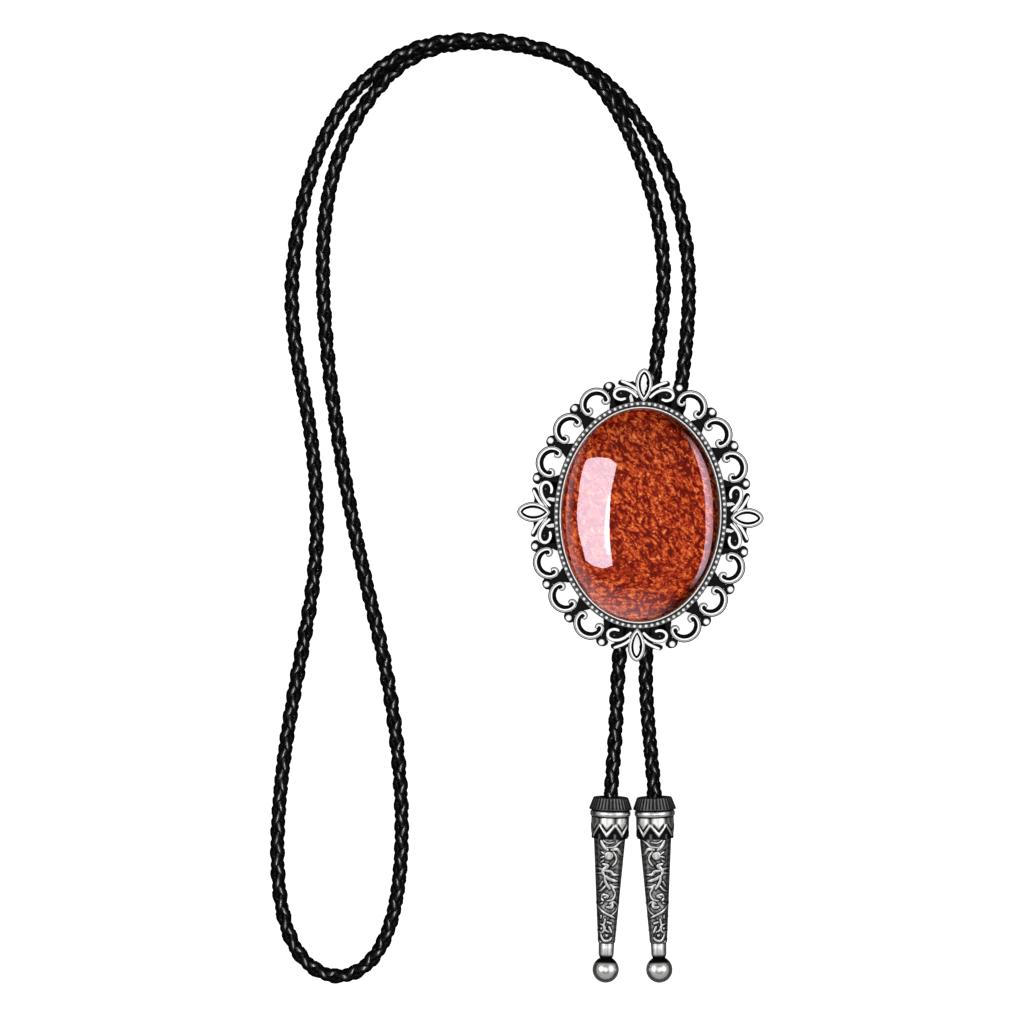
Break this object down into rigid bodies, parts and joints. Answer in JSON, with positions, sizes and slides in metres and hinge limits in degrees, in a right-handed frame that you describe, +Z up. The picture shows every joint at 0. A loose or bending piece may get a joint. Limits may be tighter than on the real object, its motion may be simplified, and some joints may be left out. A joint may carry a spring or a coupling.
{
  "type": "bolo tie",
  "caption": "Oval domed stone in a pierced antique cast setting with beaded edge, on a round braided cord with decorative metal tips.",
  "frame": {"origin": "middle of the slide, on the flat underside of the clasp, which lies on the surface", "axes": "+Z up through the stone, +Y towards the top of the slide, +X to the right of the slide seen from the front"},
  "size_m": [0.1233, 0.2379, 0.0148],
  "materials": {
    "antique_silver": "antiqued cast silver plate, bright on the high points and black in the recesses",
    "copper_goldstone": "polished red-brown goldstone glass with copper sparkle",
    "plain_steel": "plain satin",
    "black_leather": "glossy black braided leather"
  },
  "bodies": {
    "root": {"setting": "antique_silver", "stone": "copper_goldstone", "clasp": "plain_steel", "cord": "black_leather", "left_tip": "antique_silver", "right_tip": "antique_silver"}
  },
  "joints": []
}
